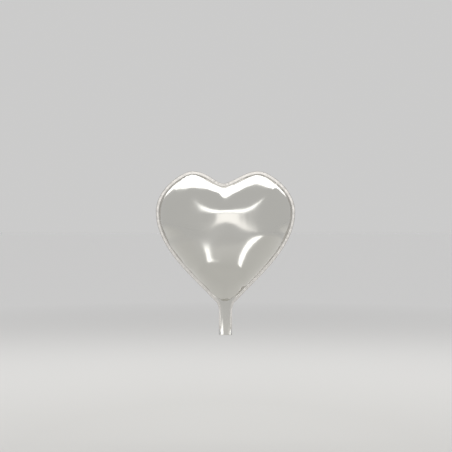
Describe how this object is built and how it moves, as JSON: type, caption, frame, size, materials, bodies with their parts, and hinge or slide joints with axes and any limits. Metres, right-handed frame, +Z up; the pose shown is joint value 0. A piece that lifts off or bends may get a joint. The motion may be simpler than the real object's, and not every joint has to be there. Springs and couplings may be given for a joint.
{
  "type": "heart-shaped foil balloon",
  "caption": "Inflated heart of silver foil with a flat welded rim, a hanging filling tail and a self-closing film valve inside its neck.",
  "frame": {"origin": "middle of the neck, where the tail joins the heart and the ribbon is tied", "axes": "+Z up towards the lobes, X across the heart, -Y towards the front"},
  "size_m": [0.45, 0.2292, 0.53],
  "materials": {
    "foil": "satin-mirror metallised film with fine wrinkles along the weld",
    "valve_film": "clear soft polyethylene film"
  },
  "bodies": {
    "envelope": {"front_panel": "foil", "back_panel": "foil"},
    "tail": {"front_tail": "foil", "back_tail": "foil", "valve_front_film": "valve_film", "valve_back_film": "valve_film"},
    "valve_front": {"valve_front_lip": "valve_film"},
    "valve_back": {"valve_back_lip": "valve_film"}
  },
  "joints": [
    {"name": "tail_bend", "type": "hinge", "parent": "envelope", "child": "tail", "pos_m": [0, 0, 0], "axis": [1, 0, 0], "range_deg": [-120, 120], "stiffness_Nm_per_rad": 0.002},
    {"name": "valve_front_open", "type": "hinge", "parent": "envelope", "child": "valve_front", "pos_m": [0, 0, 0.018], "axis": [1, 0, 0], "range_deg": [0, 10], "stiffness_Nm_per_rad": 0.0005},
    {"name": "valve_back_open", "type": "hinge", "parent": "envelope", "child": "valve_back", "pos_m": [0, 0, 0.018], "axis": [1, 0, 0], "range_deg": [-10, 0], "stiffness_Nm_per_rad": 0.0005}
  ],
  "couplings": [
    {"joint": "valve_back_open", "follows": "valve_front_open", "ratio": -1}
  ]
}
